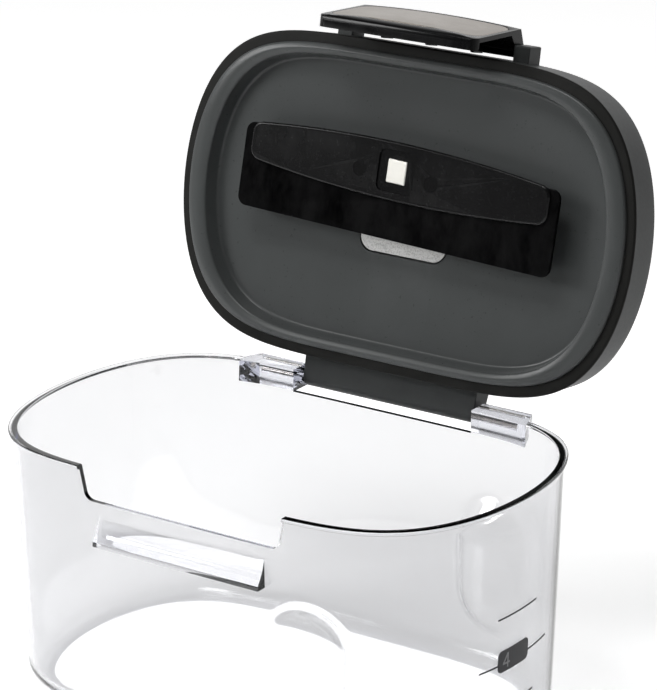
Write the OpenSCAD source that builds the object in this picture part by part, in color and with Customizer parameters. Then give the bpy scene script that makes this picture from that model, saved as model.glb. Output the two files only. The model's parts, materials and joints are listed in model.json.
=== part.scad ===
// Flip-lid kitchen keeper: a clear moulded tub, a hinged charcoal lid with a gasketed plug,
// a front latch with a metal face plate and a lift-off leveler held under the lid by a magnet.
// The origin is the centre of the tub's base. +X runs along the hinge, -Y is the front, +Z is up.
// Lid parts are described closed and then turned open about the hinge by lid_pose().

/* [Tub] */
// Height of the tub from the table to the top of the rim
tub_h = 108; // [96:1:150]
// Length of the mouth, inside the wall
mouth_l = 218; // [214:1:240]
// Width of the mouth, inside the wall
mouth_w = 136; // [134:0.2:146]
// Thickness of the moulded wall
wall = 2; // [2:0.1:3]
// Thickness of the tub's floor
floor_t = 2.6; // [2:0.1:4]
// How far each wall leans in for each millimetre down
draft = 0.03; // [0.02:0.005:0.06]
// Radius where the wall turns under into the base
base_round = 9; // [6:0.5:12]

/* [Rim] */
// How far the lip stands out from the wall
lip_out = 1.3; // [1:0.1:3]
// Thickness of the lip
lip_t = 1.6; // [1.4:0.1:3]
// Width of the front notch at the rim
notch_w = 96; // [94:1:104]
// Depth of the front notch
notch_d = 13.8; // [12:0.2:14]
// Radius of the front notch's lower corners
notch_round = 4; // [2:0.5:6]
// Depth of the rear notch that the lid's knuckle crosses
rear_d = 10.4; // [10.2:0.1:12]

/* [Catch] */
// Width of the catch across the front wall
catch_w = 78; // [60:1:84]
// How far the catch stands out from the wall
catch_out = 4.5; // [3.6:0.1:4.6]
// Depth of the top of the catch's ramp below the rim
catch_top = 16; // [15:0.5:18]
// Depth of the catch's flat underside below the rim
catch_low = 30.5; // [29:0.5:31]
// Height of the catch's upright face
catch_face = 2; // [1:0.5:4]

/* [Hand grip] */
// Distance of the grip's two recesses from the middle, towards the right
grip_x = 58.5; // [50:0.5:62]
// Width of a recess where it meets the wall
grip_w = 37; // [24:1:38]
// How far a recess is pressed in
grip_in = 7; // [4:0.5:9]
// Depth of the top of a recess below the rim
grip_top = 37; // [33:1:44]
// Height of the foot of a recess above the table
grip_low = 14; // [12:1:24]

/* [Hinge] */
// Distance of the hinge axis behind the back wall
hinge_back = 6.3; // [6.1:0.1:7.5]
// Depth of the hinge axis below the rim
hinge_drop = 5.4; // [5.2:0.1:5.8]
// Distance of each block's inner face from the middle
block_in = 43.5; // [42:0.5:46]
// Distance of each block's outer corner from the middle
block_out = 65.5; // [65:0.5:68]
// Angle at which each block's outer end spreads into the wall
block_splay = 22; // [10:1:30]
// How far the blocks stand behind the hinge axis
block_back = 2.4; // [2.2:0.1:4]
// Height of the blocks above the hinge axis
block_up = 4.6; // [3:0.1:4.8]
// Radius of the blocks' back edges
block_round = 1.5; // [0.5:0.1:2]
// Radius of the lid's knuckle
knuckle_r = 4; // [3.4:0.1:4.4]
// Gap between the knuckle and each block
knuckle_gap = 1.6; // [0.6:0.2:4]
// Diameter of the hinge pins
pin_d = 3; // [2:0.1:4]
// Length of a hinge pin
pin_l = 38; // [30:1:44]
// How far a hinge pin reaches into its block
pin_in_block = 19.5; // [12:0.5:22]
// Angle between the closed lid and the lid as it stands open
open_angle = 101.2; // [90:0.1:104]

/* [Lid] */
// Clearance between the lid shell and the mouth at each end
lid_gap_l = 1.6; // [1.4:0.1:4]
// Clearance between the lid shell and the mouth at front and back
lid_gap_w = 1.4; // [1.3:0.1:3]
// How far the lid's middle lies in front of the tub's middle
lid_forward = 0.5; // [0.3:0.1:0.8]
// Depth of the shell's lower edge below the rim
skirt_drop = 14.3; // [13:0.1:16]
// Height of the lid's top above the rim
lid_rise = 4; // [3.8:0.1:8]
// Wall of the lid shell
shell_t = 2.2; // [1.6:0.1:3]
// How far the shell's wall leans in towards its top
shell_lean = 1; // [0.4:0.1:1.6]
// Radius of the shell's top edge
shell_round = 2; // [1:0.5:3]
// Depth of the panel set into the lid's top
top_dish = 0.8; // [0.4:0.1:1.2]
// Width of the border round the top panel
top_border = 6.5; // [4:0.5:9]

/* [Lid liner] */
// Step in from the shell to the flange at each end
flange_in_l = 3.1; // [2.6:0.1:5]
// Step in from the shell to the flange at front and back
flange_in_w = 4.3; // [3.6:0.1:5]
// Thickness of the flange
flange_t = 2; // [1.6:0.1:3]
// Clearance between the shell's wall and the neck that carries the gasket
neck_gap = 3.6; // [2:0.1:4]
// Width of the flange's face round the dish at each end
dish_in_l = 9.3; // [8:0.1:16]
// Width of the flange's face round the dish at front and back
dish_in_w = 5; // [5:0.1:10]
// Depth of the dish
dish_d = 7.5; // [6:0.5:8]
// Thickness of the dish's panel
panel_t = 2; // [1.4:0.1:2.6]
// Thickness of the gasket
gasket_t = 1.7; // [1.2:0.1:2.4]
// Clearance left between the gasket and the tub
gasket_gap = 0.4; // [0.4:0.1:1]

/* [Keeper plate] */
// Width of the steel plate set into the dish
keeper_w = 41; // [36:1:50]
// Height of the steel plate
keeper_h = 37; // [36:1:50]
// Thickness of the steel plate
keeper_t = 0.8; // [0.5:0.1:1]
// Corner radius of the steel plate
keeper_round = 6; // [3:1:9]

/* [Latch] */
// Width of the latch
latch_w = 75; // [60:1:75]
// Distance of the latch pivot in front of the lid shell
pivot_out = 3.4; // [3.3:0.1:3.6]
// Height of the latch pivot above the rim
pivot_z = 0.2; // [0:0.1:0.4]
// Diameter of the latch pin
latch_pin_d = 2.5; // [2:0.1:3]
// Radius of the latch's barrel
barrel_r = 3; // [2.6:0.1:3.2]
// Width of each ear that carries the latch pin
ear_w = 7.4; // [5:0.1:7.4]
// Height of an ear above the pin
ear_up = 3.3; // [2.6:0.1:3.5]
// Depth of an ear below the pin
ear_down = 6; // [4:0.5:8]
// How far an ear stands out in front of the pin
ear_nose = 2.6; // [2.2:0.1:4]
// Play between the latch and each ear
ear_gap = 0.8; // [0.4:0.1:1.6]
// How far the latch's face stands out from its pivot, at the top
face_out_top = 8.6; // [8.2:0.1:9.6]
// How far the latch's face stands out from its pivot, at the lower end
face_out_low = 4.9; // [4.8:0.1:6]
// How far the latch's face bows out in the middle of its length
face_bow = 1.4; // [0.5:0.1:2]
// Radius of the rounding along the latch's lower edge
latch_round = 3.2; // [1:0.1:3.4]
// Depth of the latch's lower end below the rim
latch_low = 34.6; // [34:0.1:36]
// Depth of the top of the latch's face below the rim
latch_high = 1; // [0.5:0.1:2]
// Thickness of the latch's wall
latch_t = 1.9; // [1.5:0.1:2]
// How far the hook's tip lies in front of the latch pivot
hook_out = 0.2; // [0:0.1:1]
// Clearance between the hook and the catch
hook_gap = 0.5; // [0.4:0.1:1]
// Number of stiffening ribs inside the latch
latch_ribs = 3; // [2:1:5]
// Thickness of a stiffening rib
rib_t = 1.6; // [1:0.1:2.4]
// Length of the metal face plate across the latch
plate_w = 71; // [50:1:71]
// Height of the metal face plate
plate_h = 28; // [20:0.5:28]
// Thickness of the metal face plate
plate_t = 0.7; // [0.5:0.1:0.9]
// Corner radius of the metal face plate
plate_round = 6; // [2:0.5:8]
// Distance of the face plate from the top of the latch's face
plate_top = 1.6; // [1:0.1:2]

/* [Leveler] */
// Length of the leveler's blade
blade_l = 151; // [120:1:160]
// Height of the leveler's blade
blade_h = 35; // [30:1:40]
// Thickness of the blade
blade_t = 1.8; // [1.2:0.1:2.4]
// Corner radius of the blade
blade_round = 4; // [2:0.5:8]
// Distance of the blade's lower face under the flange
blade_under = 2.7; // [2:0.1:4]
// Length of the grip on the blade
grip_l = 143; // [100:1:143]
// Height of the grip at its middle
grip_h = 24; // [22:0.5:26]
// Height of the grip at its ends
grip_end_h = 15; // [10:0.5:20]
// How far the grip is raised from the blade
grip_raise = 1.3; // [0.8:0.1:2]
// Size of the square frame round the magnet
frame_size = 17.4; // [15:0.2:19]
// Depth of that frame
frame_depth = 0.6; // [0.3:0.1:0.7]
// Width of the magnet
magnet_w = 9.2; // [6:0.1:12]
// Height of the magnet
magnet_h = 9.8; // [6:0.1:12]
// Distance of the magnet from the middle of the lid, towards the front
magnet_y = 16.6; // [8:0.2:18]
// How far round its magnet the leveler has turned
leveler_turn = 2.1; // [-6:0.1:6]

/* [Hidden] */

// powers of the mouth's outline: the long sides are nearly flat and the ends are bowed
long_power = 5.4;
end_power = 2;
ring_steps = 96;
arc_fn = 48;
grip_fn = 96;
bow_fn = 1080;
round_steps = 4;
fit_gap = 0.02;
run_gap = 0.05;
seat_gap = 0.3;
slack = 1;

rim = tub_h;
half_l = mouth_l / 2;
half_w = mouth_w / 2;
hinge_y = half_w + wall + hinge_back;
hinge_z = rim - hinge_drop;
wall_y = half_w + wall - draft * catch_low;
knuckle_l = 2 * (block_in - knuckle_gap);
pin_from = block_in + pin_in_block - pin_l;
lid_half = [half_l - lid_gap_l, half_w - lid_gap_w];
flange_half = [lid_half[0] - flange_in_l, lid_half[1] - flange_in_w];
dish_half = [flange_half[0] - dish_in_l, flange_half[1] - dish_in_w];
neck_in = shell_t + shell_lean + neck_gap;
neck_half = [lid_half[0] - neck_in, lid_half[1] - neck_in];
lid_front = lid_half[1] + lid_forward;
lid_back = lid_half[1] - lid_forward;
flange_z = -skirt_drop - gasket_t - flange_t;
panel_z = flange_z + dish_d;
neck_top = lid_rise - top_dish - shell_t - seat_gap;
pivot_y = lid_front + pivot_out;
face_top = pivot_y + face_out_top;
face_low = pivot_y + face_out_low;
hook_tip = pivot_y + hook_out;
ear_in = latch_w / 2 + ear_gap;
ear_out = ear_in + ear_w;
blade_z = flange_z - blade_under;
grip_face = blade_z - grip_raise;
boss_top = panel_z - seat_gap;
boss_size = frame_size - 1.4;
grip_mid = -magnet_y;
blade_mid = grip_mid + 10.5;
face_slope = atan((face_top - face_low) / (latch_low - latch_high));

clear_plastic = [0.86, 0.90, 0.92, 0.45];
charcoal = [0.25, 0.26, 0.26];
liner_grey = [0.36, 0.38, 0.37];
black_rubber = [0.06, 0.06, 0.06];
gloss_black = [0.09, 0.09, 0.10];
matt_black = [0.14, 0.14, 0.15];
steel = [0.72, 0.71, 0.69];
pewter = [0.56, 0.53, 0.50];

// ---- outlines --------------------------------------------------------------------------

// signed power, for the four quarters of the outline
function spow(v, p) = sign(v) * pow(abs(v), p);
// the outline for half sizes a and b, counter-clockwise from its right-hand end
function ring(a, b) = [for (i = [0:ring_steps - 1]) let (t = 360 * i / ring_steps)
    [a * spow(cos(t), 2 / long_power), b * spow(sin(t), 2 / end_power)]];
// where the long side stands at x
function side_at(x, a, b) = b * pow(1 - pow(abs(x / a), long_power), 1 / end_power);
// points of a circular arc
function arc(c, r, from, to, n = 6) =
    [for (i = [0:n]) let (t = from + (to - from) * i / n) [c[0] + r * cos(t), c[1] + r * sin(t)]];

// a closed body through outlines given as [half length, half width, height], lowest first
module loft(rings) {
    n = len(ring(1, 1));
    last = len(rings) - 1;
    points = [for (r = rings) for (p = ring(r[0], r[1])) [p[0], p[1], r[2]]];
    faces = concat(
        [[for (i = [0:n - 1]) i]],
        [for (k = [0:last - 1], i = [0:n - 1]) [k * n + i, (k + 1) * n + i, k * n + (i + 1) % n]],
        [for (k = [0:last - 1], i = [0:n - 1])
            [(k + 1) * n + i, (k + 1) * n + (i + 1) % n, k * n + (i + 1) % n]],
        [[for (i = [n - 1:-1:0]) last * n + i]]);
    polyhedron(points, faces, convexity = 6);
}
// half sizes and a height in one list
function at_height(size, z) = [size[0], size[1], z];
// an upright slice with one outline
module prism(z0, z1, size) {
    translate([0, 0, z0]) linear_extrude(z1 - z0) polygon(ring(size[0], size[1]));
}
// a profile drawn in Y and Z and extruded along X between two places
module along_x(x0, x1) {
    translate([x0, 0, 0]) rotate([90, 0, 90]) linear_extrude(x1 - x0) children();
}
// a rectangle with round corners, drawn about its middle
module round_rect(w, h, r) {
    square([w - 2 * r, h], center = true);
    square([w, h - 2 * r], center = true);
    for (x = [-1, 1], y = [-1, 1])
        translate([x * (w / 2 - r), y * (h / 2 - r)]) circle(r, $fn = arc_fn);
}
// both ends of the hinge
module both_ends() {
    for (side = [0, 1]) mirror([side, 0, 0]) children();
}

// ---- tub -------------------------------------------------------------------------------

// half sizes of the tub's wall at height z, moved out by d
function tub_at(z, d) = [half_l + d - draft * (rim - z), half_w + d - draft * (rim - z)];
// the tub's form with its lower edge rounded, for a skin moved out by d and a bottom at z0
module tub_form(d, z0, r) {
    loft(concat(
        [for (i = [0:round_steps]) let (t = 90 * i / round_steps, z = z0 + r * (1 - cos(t)))
            at_height(tub_at(z, d - r * (1 - sin(t))), z)],
        [at_height(tub_at(rim, d), rim)]));
}
// the round-ended forms that press the grip into the front and back walls, grown by g
module grip_form(g) {
    r = (grip_w * grip_w / 4 + grip_in * grip_in) / (2 * grip_in);
    top = rim - grip_top - grip_w / 2;
    low = grip_low + grip_w / 2;
    size = tub_at((top + low) / 2, wall);
    centre_y = side_at(grip_x, size[0], size[1]) - grip_in + r;
    for (side = [-1, 1]) translate([grip_x, side * centre_y, 0]) {
        translate([0, 0, low]) cylinder(r = r + g, h = top - low, $fn = grip_fn);
        for (z = [low, top]) translate([0, 0, z]) sphere(r = r + g, $fn = grip_fn);
    }
}
module front_notch() {
    w1 = notch_w / 2;
    w0 = w1 - 2;
    r = notch_round;
    low = rim - notch_d;
    translate([0, -half_w / 2, 0]) rotate([90, 0, 0]) linear_extrude(mouth_w) polygon(concat(
        [[-w1, rim + slack], [-w1, rim]],
        arc([-w0 + r, low + r], r, 180, 270),
        arc([w0 - r, low + r], r, 270, 360),
        [[w1, rim], [w1, rim + slack]]));
}
module rear_notch() {
    translate([-block_in, half_w / 2, rim - rear_d])
        cube([2 * block_in, mouth_w, rear_d + slack]);
}
// the block's outline from above between two heights, from inside the mouth to its back
module block_plan(z0, z1) {
    front = half_w - 8;
    back = hinge_y + block_back;
    translate([0, 0, z0]) linear_extrude(z1 - z0) polygon([[block_in - slack, front],
        [block_out + (back - front) * tan(block_splay), front], [block_out, back],
        [block_in - slack, back]]);
}
// the block's profile, with its two back edges rounded
module block_profile() {
    r = block_round;
    front = half_w - 8;
    back = hinge_y + block_back;
    low = rim - rear_d;
    top = hinge_z + block_up;
    polygon(concat([[front, top], [front, low]], arc([back - r, low + r], r, 270, 360),
        arc([back - r, top - r], r, 0, 90)));
}
module hinge_block() {
    intersection() {
        along_x(block_in - slack, block_out + 8) block_profile();
        block_plan(rim - rear_d - slack, rim);
    }
}
module block_bore() {
    translate([block_in - slack, hinge_y, hinge_z]) rotate([0, 90, 0])
        cylinder(d = pin_d + 2 * fit_gap, h = pin_in_block + slack + 1, $fn = arc_fn);
}
// ramp that hollows outwards to an upright face, with a flat underside
module catch_wedge() {
    top = rim - catch_top;
    low = rim - catch_low;
    ramp = catch_top - catch_low + catch_face;
    root = wall_y - wall / 2;
    steps = 8;
    along_x(-catch_w / 2, catch_w / 2) polygon(concat(
        [[-root, low], [-root, top]],
        [for (i = [0:steps]) let (t = i / steps) [-wall_y - catch_out * t * t, top + ramp * t]],
        [[-wall_y - catch_out, low]]));
}

module bin_body() {
    color(clear_plastic) {
        difference() {
            union() {
                difference() {
                    tub_form(wall, 0, base_round);
                    grip_form(0);
                }
                prism(rim - lip_t, rim, tub_at(rim, wall + lip_out));
                catch_wedge();
                both_ends() hinge_block();
            }
            difference() {
                tub_form(0, floor_t, base_round - wall);
                grip_form(wall);
            }
            // cuts the mouth clean through the rim
            prism(rim - lip_t, rim + slack, tub_at(rim, 0));
            front_notch();
            rear_notch();
            both_ends() {
                // lowers the wall and the lip to the top of the block
                block_plan(hinge_z + block_up, rim + slack);
                block_bore();
            }
        }
    }
}

module hinge_pin() {
    color(steel)
        translate([pin_from, hinge_y, hinge_z]) rotate([0, 90, 0])
            cylinder(d = pin_d, h = pin_l, $fn = arc_fn);
}
module hinge_pin_left() { mirror([1, 0, 0]) hinge_pin(); }
module hinge_pin_right() { hinge_pin(); }

// ---- lid -------------------------------------------------------------------------------

// turns what is drawn closed, with heights from the rim, to the open lid
module lid_pose() {
    translate([0, hinge_y, hinge_z]) rotate([-open_angle, 0, 0])
        translate([0, -hinge_y, hinge_drop]) children();
}
// moves the lid's outlines to the lid's middle
module lid_mid() { translate([0, -lid_forward, 0]) children(); }

// half sizes of the shell at height z, moved in by d
function shell_at(z, d) = let (lean = shell_lean * (z + skirt_drop) / (lid_rise + skirt_drop))
    [lid_half[0] - d - lean, lid_half[1] - d - lean];

module shell_form() {
    edge = lid_rise - shell_round;
    loft(concat(
        [at_height(shell_at(-skirt_drop, 0), -skirt_drop)],
        [for (i = [0:round_steps]) let (t = 90 * i / round_steps)
            at_height(shell_at(edge, shell_round * (1 - cos(t))), edge + shell_round * sin(t))]));
}
// barrel round the hinge axis, and the web that joins it to the shell's back wall
module knuckle_profile() {
    root = lid_back - shell_t / 2 - shell_lean;
    rise = 22;
    top = lid_rise - shell_round;
    translate([hinge_y, -hinge_drop]) circle(knuckle_r, $fn = arc_fn);
    polygon([[root, -hinge_drop - knuckle_r], [hinge_y, -hinge_drop - knuckle_r],
        [hinge_y + knuckle_r * sin(rise), -hinge_drop + knuckle_r * cos(rise)], [root, top]]);
}
// block on the shell's front wall that carries the pin, with its nose rounded off
module ear_profile() {
    root = lid_front - shell_t / 2 - shell_lean;
    nose = pivot_y + ear_nose;
    top = pivot_z + ear_up;
    low = pivot_z - ear_down;
    r = 0.8;
    polygon(concat([[-root, low]], arc([-nose + r, low + r], r, 270, 180),
        arc([-nose + r, top - r], r, 180, 90), [[-root, top]]));
}

module lid_shell() {
    inside = lid_rise - top_dish - shell_t;
    color(charcoal) lid_pose() difference() {
        union() {
            difference() {
                lid_mid() shell_form();
                lid_mid() loft([at_height(shell_at(-skirt_drop, shell_t), -skirt_drop - slack),
                    at_height(shell_at(inside, shell_t), inside)]);
                lid_mid() prism(lid_rise - top_dish, lid_rise + slack,
                    shell_at(lid_rise, top_border));
            }
            along_x(-knuckle_l / 2, knuckle_l / 2) knuckle_profile();
            both_ends() along_x(ear_in, ear_out) ear_profile();
        }
        translate([-knuckle_l / 2 - slack, hinge_y, -hinge_drop]) rotate([0, 90, 0])
            cylinder(d = pin_d + 2 * run_gap, h = knuckle_l + 2 * slack, $fn = arc_fn);
        both_ends() translate([ear_in - slack, -pivot_y, pivot_z]) rotate([0, 90, 0])
            cylinder(d = latch_pin_d + 2 * fit_gap, h = ear_w + slack - 1.4, $fn = arc_fn);
    }
}

// flange, neck and dish that hang under the shell
module lid_liner() {
    color(liner_grey) lid_pose() difference() {
        lid_mid() union() {
            prism(flange_z, flange_z + flange_t, flange_half);
            prism(flange_z + flange_t, neck_top, neck_half);
        }
        lid_mid() prism(flange_z - slack, panel_z, dish_half);
        lid_mid() prism(panel_z + panel_t, neck_top + slack, dish_half);
        keeper_seat(seat_gap / 2, panel_z - slack);
    }
}
// the shape of the steel plate, grown by g, from height z up to its back
module keeper_seat(g, z) {
    translate([0, 0, z]) linear_extrude(panel_z + keeper_t - z)
        round_rect(keeper_w + 2 * g, keeper_h + 2 * g, keeper_round + g);
}
module keeper_plate() { color(steel) lid_pose() keeper_seat(0, panel_z); }

module lid_gasket() {
    low = flange_z + flange_t;
    mouth = tub_at(rim - skirt_drop, -gasket_gap);
    color(black_rubber) lid_pose() lid_mid() difference() {
        prism(low, low + gasket_t, [mouth[0], mouth[1] - lid_forward]);
        prism(low - slack, low + gasket_t + slack, [for (n = neck_half) n + seat_gap / 2]);
    }
}

// ---- latch -----------------------------------------------------------------------------

// the latch's outer face at depth z below the rim, moved in by d
function face_at(z, d) =
    [-face_top + d + (face_top - face_low) * (z - latch_high) / (latch_low - latch_high), -z];

// the large cylinder that bows the latch's face out in the middle, its skin moved in by d
module bow(d) {
    r = (latch_w * latch_w / 4 + face_bow * face_bow) / (2 * face_bow);
    translate(concat([0], face_at(0, -face_bow))) rotate([face_slope, 0, 0])
        translate([0, r, -2 * latch_low]) cylinder(r = r - d, h = 3 * latch_low, $fn = bow_fn);
}
module latch_profile() {
    hook_z = catch_low + hook_gap;
    low = face_at(latch_low, -face_bow);
    translate([-pivot_y, pivot_z]) circle(barrel_r, $fn = arc_fn);
    polygon(concat([face_at(latch_high, -face_bow)],
        arc([low[0] + latch_round, low[1] + latch_round], latch_round, 180 + face_slope, 270),
        [[-hook_tip, -latch_low], [-hook_tip, -hook_z - 0.8], [-hook_tip - 0.8, -hook_z],
        face_at(hook_z, latch_t), face_at(latch_high + barrel_r + 3, latch_t),
        [-pivot_y - 0.6, pivot_z - barrel_r + 0.1], [-pivot_y, pivot_z + barrel_r],
        [-pivot_y - 2, pivot_z + barrel_r]]));
}
// ribs that stiffen the latch and rest on the shell's front wall
module latch_rib_profile() {
    top = 2.4;
    low = 9;
    foot = low + 7;
    polygon([face_at(top, latch_t / 2), face_at(foot, latch_t / 2), face_at(foot, latch_t + 0.6),
        [-lid_front - 2 * seat_gap, -low], [-lid_front - seat_gap, -top]]);
}
// the face plate's outline, grown by g, as a prism square to the sloping face
module plate_seat(g) {
    translate(concat([0], face_at(latch_high + plate_top + plate_h / 2, 0)))
        rotate([90 + face_slope, 0, 0]) translate([0, 0, -latch_t]) linear_extrude(2 * latch_t)
            round_rect(plate_w + 2 * g, plate_h + 2 * g, plate_round + g);
}
module latch_body() {
    color(gloss_black) lid_pose() difference() {
        union() {
            intersection() {
                along_x(-latch_w / 2, latch_w / 2) latch_profile();
                bow(0);
            }
            for (i = [0:latch_ribs - 1]) {
                x = (i - (latch_ribs - 1) / 2) * latch_w / (latch_ribs + 0.5);
                along_x(x - rib_t / 2, x + rib_t / 2) latch_rib_profile();
            }
        }
        difference() {
            plate_seat(seat_gap / 2);
            bow(plate_t + fit_gap);
        }
        translate([-latch_w / 2 - slack, -pivot_y, pivot_z]) rotate([0, 90, 0])
            cylinder(d = latch_pin_d + 2 * run_gap, h = latch_w + 2 * slack, $fn = arc_fn);
    }
}
module latch_plate() {
    color(pewter) lid_pose() difference() {
        intersection() {
            plate_seat(0);
            bow(0);
        }
        bow(plate_t);
    }
}
module latch_pin() {
    reach = ear_out - 1.6;
    color(steel) lid_pose() translate([-reach, -pivot_y, pivot_z]) rotate([0, 90, 0])
        cylinder(d = latch_pin_d, h = 2 * reach, $fn = arc_fn);
}

// ---- leveler ---------------------------------------------------------------------------

// turns the leveler about its magnet
module leveler_pose() {
    lid_pose() translate([0, grip_mid, 0]) rotate([0, 0, leveler_turn])
        translate([0, -grip_mid, 0]) children();
}
// a lens: the overlap of two large circles, cut square at its ends
module lens(l, h, end_h) {
    bow = (h - end_h) / 2;
    r = (l * l / 4 + bow * bow) / (2 * bow);
    intersection() {
        translate([0, r - h / 2]) circle(r, $fn = 360);
        translate([0, h / 2 - r]) circle(r, $fn = 360);
        round_rect(l, h, end_h / 3);
    }
}
module magnet_shape(g) {
    translate([0, grip_mid]) square([magnet_w + 2 * g, magnet_h + 2 * g], center = true);
}
module leveler_blade() {
    color(gloss_black) leveler_pose() translate([0, 0, blade_z]) linear_extrude(blade_t)
        difference() {
            translate([0, blade_mid]) round_rect(blade_l, blade_h, blade_round);
            translate([0, grip_mid]) square(boss_size + 2 * fit_gap, center = true);
        }
}
module leveler_grip() {
    color(matt_black) leveler_pose() difference() {
        union() {
            translate([0, grip_mid, grip_face]) linear_extrude(grip_raise)
                lens(grip_l, grip_h, grip_end_h);
            // boss that passes through the blade and sits on the steel plate
            translate([0, grip_mid, grip_face + grip_raise / 2])
                linear_extrude(boss_top - grip_face - grip_raise / 2)
                    square(boss_size, center = true);
        }
        translate([0, grip_mid, grip_face - slack]) linear_extrude(frame_depth + slack)
            round_rect(frame_size, frame_size, 3);
        translate([0, 0, grip_face - slack]) linear_extrude(boss_top - grip_face + 2 * slack)
            magnet_shape(fit_gap);
    }
}
module leveler_magnet() {
    low = grip_face + frame_depth - 0.2;
    color(steel) leveler_pose() translate([0, 0, low]) linear_extrude(boss_top - low)
        magnet_shape(0);
}

bin_body();
hinge_pin_left();
hinge_pin_right();
lid_shell();
lid_liner();
lid_gasket();
keeper_plate();
latch_body();
latch_plate();
latch_pin();
leveler_blade();
leveler_grip();
leveler_magnet();
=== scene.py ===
"""Looks of a flip-lid kitchen canister: clear tub, charcoal lid, metal-faced latch and leveler.

Shapes are worked out in millimetres, with the lid closed and heights taken from the rim,
and are then placed in metres at rest, where the lid stands open.
"""

import json
import math

import bmesh
import bpy
from bpy.props import FloatProperty, FloatVectorProperty, IntProperty, PointerProperty
from bpy.types import Operator, Panel, PropertyGroup
from mathutils import Matrix, Vector


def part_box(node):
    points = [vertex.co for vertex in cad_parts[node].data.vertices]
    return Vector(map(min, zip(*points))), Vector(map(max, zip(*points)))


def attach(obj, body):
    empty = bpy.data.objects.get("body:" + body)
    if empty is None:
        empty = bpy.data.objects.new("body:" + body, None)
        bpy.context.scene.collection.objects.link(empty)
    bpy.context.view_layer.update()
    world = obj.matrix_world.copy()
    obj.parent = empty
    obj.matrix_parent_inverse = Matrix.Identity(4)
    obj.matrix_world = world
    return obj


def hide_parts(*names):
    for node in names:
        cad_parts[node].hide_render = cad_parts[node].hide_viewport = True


bl_info = {
    "name": "Flip-lid Canister",
    "version": (1, 0, 0),
    "blender": (4, 5, 0),
    "location": "View3D > Sidebar > Canister",
    "description": "Builds the surfaces of a clear canister with a flip lid and a leveler",
    "category": "Object",
}

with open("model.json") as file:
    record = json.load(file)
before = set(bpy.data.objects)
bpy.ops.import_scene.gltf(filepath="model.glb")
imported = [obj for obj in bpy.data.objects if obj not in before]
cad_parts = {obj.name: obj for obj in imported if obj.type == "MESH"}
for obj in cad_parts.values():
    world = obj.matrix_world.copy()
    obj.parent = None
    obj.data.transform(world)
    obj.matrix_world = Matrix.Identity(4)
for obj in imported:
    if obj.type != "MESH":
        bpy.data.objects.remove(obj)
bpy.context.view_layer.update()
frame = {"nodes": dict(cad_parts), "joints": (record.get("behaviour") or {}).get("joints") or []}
JOINTS = {joint["name"]: joint for joint in frame["joints"]}
MM = 0.001

# How far a cutting tool stands past what it cuts, and edges sharper than this stay sharp
SPARE, SHARP, PRINT_SHARP = 2.0, 40, 35

# ---- sizes shared with the solids, in millimetres -------------------------------------------

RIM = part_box("bin_body")[1].z / MM
MOUTH = (109.0, 68.0)
WALL, FLOOR, DRAFT, BASE_ROUND = 2.0, 2.6, 0.03, 9.0
LIP_OUT, LIP_T = 1.3, 1.6
NOTCH_HALF, NOTCH_DEEP, NOTCH_ROUND = 48.0, 13.8, 4.0
REAR_DEEP = 10.4
CATCH_HALF, CATCH_OUT, CATCH_TOP, CATCH_LOW, CATCH_FACE = 39.0, 4.5, 16.0, 30.5, 2.0
GRIP_X, GRIP_W, GRIP_IN, GRIP_TOP, GRIP_LOW = 58.5, 37.0, 7.0, 37.0, 14.0
BLOCK_IN, BLOCK_OUT, BLOCK_BACK, BLOCK_UP, BLOCK_ROUND = 43.5, 65.5, 2.4, 4.6, 1.5
BLOCK_SPLAY = math.radians(22)
PIN_R, PIN_IN_BLOCK = 1.5, 19.5
KNUCKLE_R, KNUCKLE_HALF = 4.0, 41.9
LID_FORWARD = 0.5
SHELL = (107.4, 66.6)
SKIRT, RISE, SHELL_T, SHELL_ROUND, SHELL_LEAN = -14.3, 4.0, 2.2, 2.0, 1.0
TOP_DISH, TOP_BORDER = 0.8, 6.5
FLANGE, DISH, NECK = (104.3, 62.3), (95.0, 57.3), (100.6, 59.8)
FLANGE_Z, FLANGE_T, PANEL_Z, NECK_TOP = -18.0, 2.0, -10.5, 0.7
GASKET = (108.17, 66.67)
GASKET_T = 1.7
PAD, PAD_ROUND = (-14.8, 5.2, 39.2, 48.2), 2.2
NUMERAL, NUMERAL_AT = (4.2, 6.0, 0.7), (-12.0, 40.7)
# name, depth below the rim, and both ends along the end wall
CUP_LINES = (
    ("cup_line_six", 46.3, -15.6, 10.9),
    ("cup_line_four_front", 65.5, -25.0, PAD[0] + 0.1),
    ("cup_line_four_back", 65.5, PAD[1] - 0.1, 21.3),
    ("cup_line_two", 83.9, -15.6, 10.9),
)
# width, height, thickness and corner, and how much wider, rounder and deeper its pocket is
KEEPER, POCKET = (41.0, 37.0, 0.8, 6.0), (1.4, 0.6, 1.2)
PIVOT = (-70.5, 0.2)
EAR_IN, EAR_OUT, EAR_UP, EAR_DOWN, EAR_NOSE = 38.3, 45.7, 3.3, 6.0, 2.6
GRIP_HALF, GRIP_END, GRIP_CORNER, GRIP_EDGE = (71.5, 12.0), 7.4, 4.5, 0.9
FRAME_HALF = 9.2
LATCH_HALF, LATCH_LOW, LATCH_CORNER = 37.5, -34.6, 4.0
GRIP_MARKS, MARK_R, MARK_DEEP = ((-17.2, 1.6), (17.2, 1.6)), 3.3, 0.12
LEVELER_DOWN, LEVELER_TURN = 16.6, math.radians(2.1)

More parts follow.
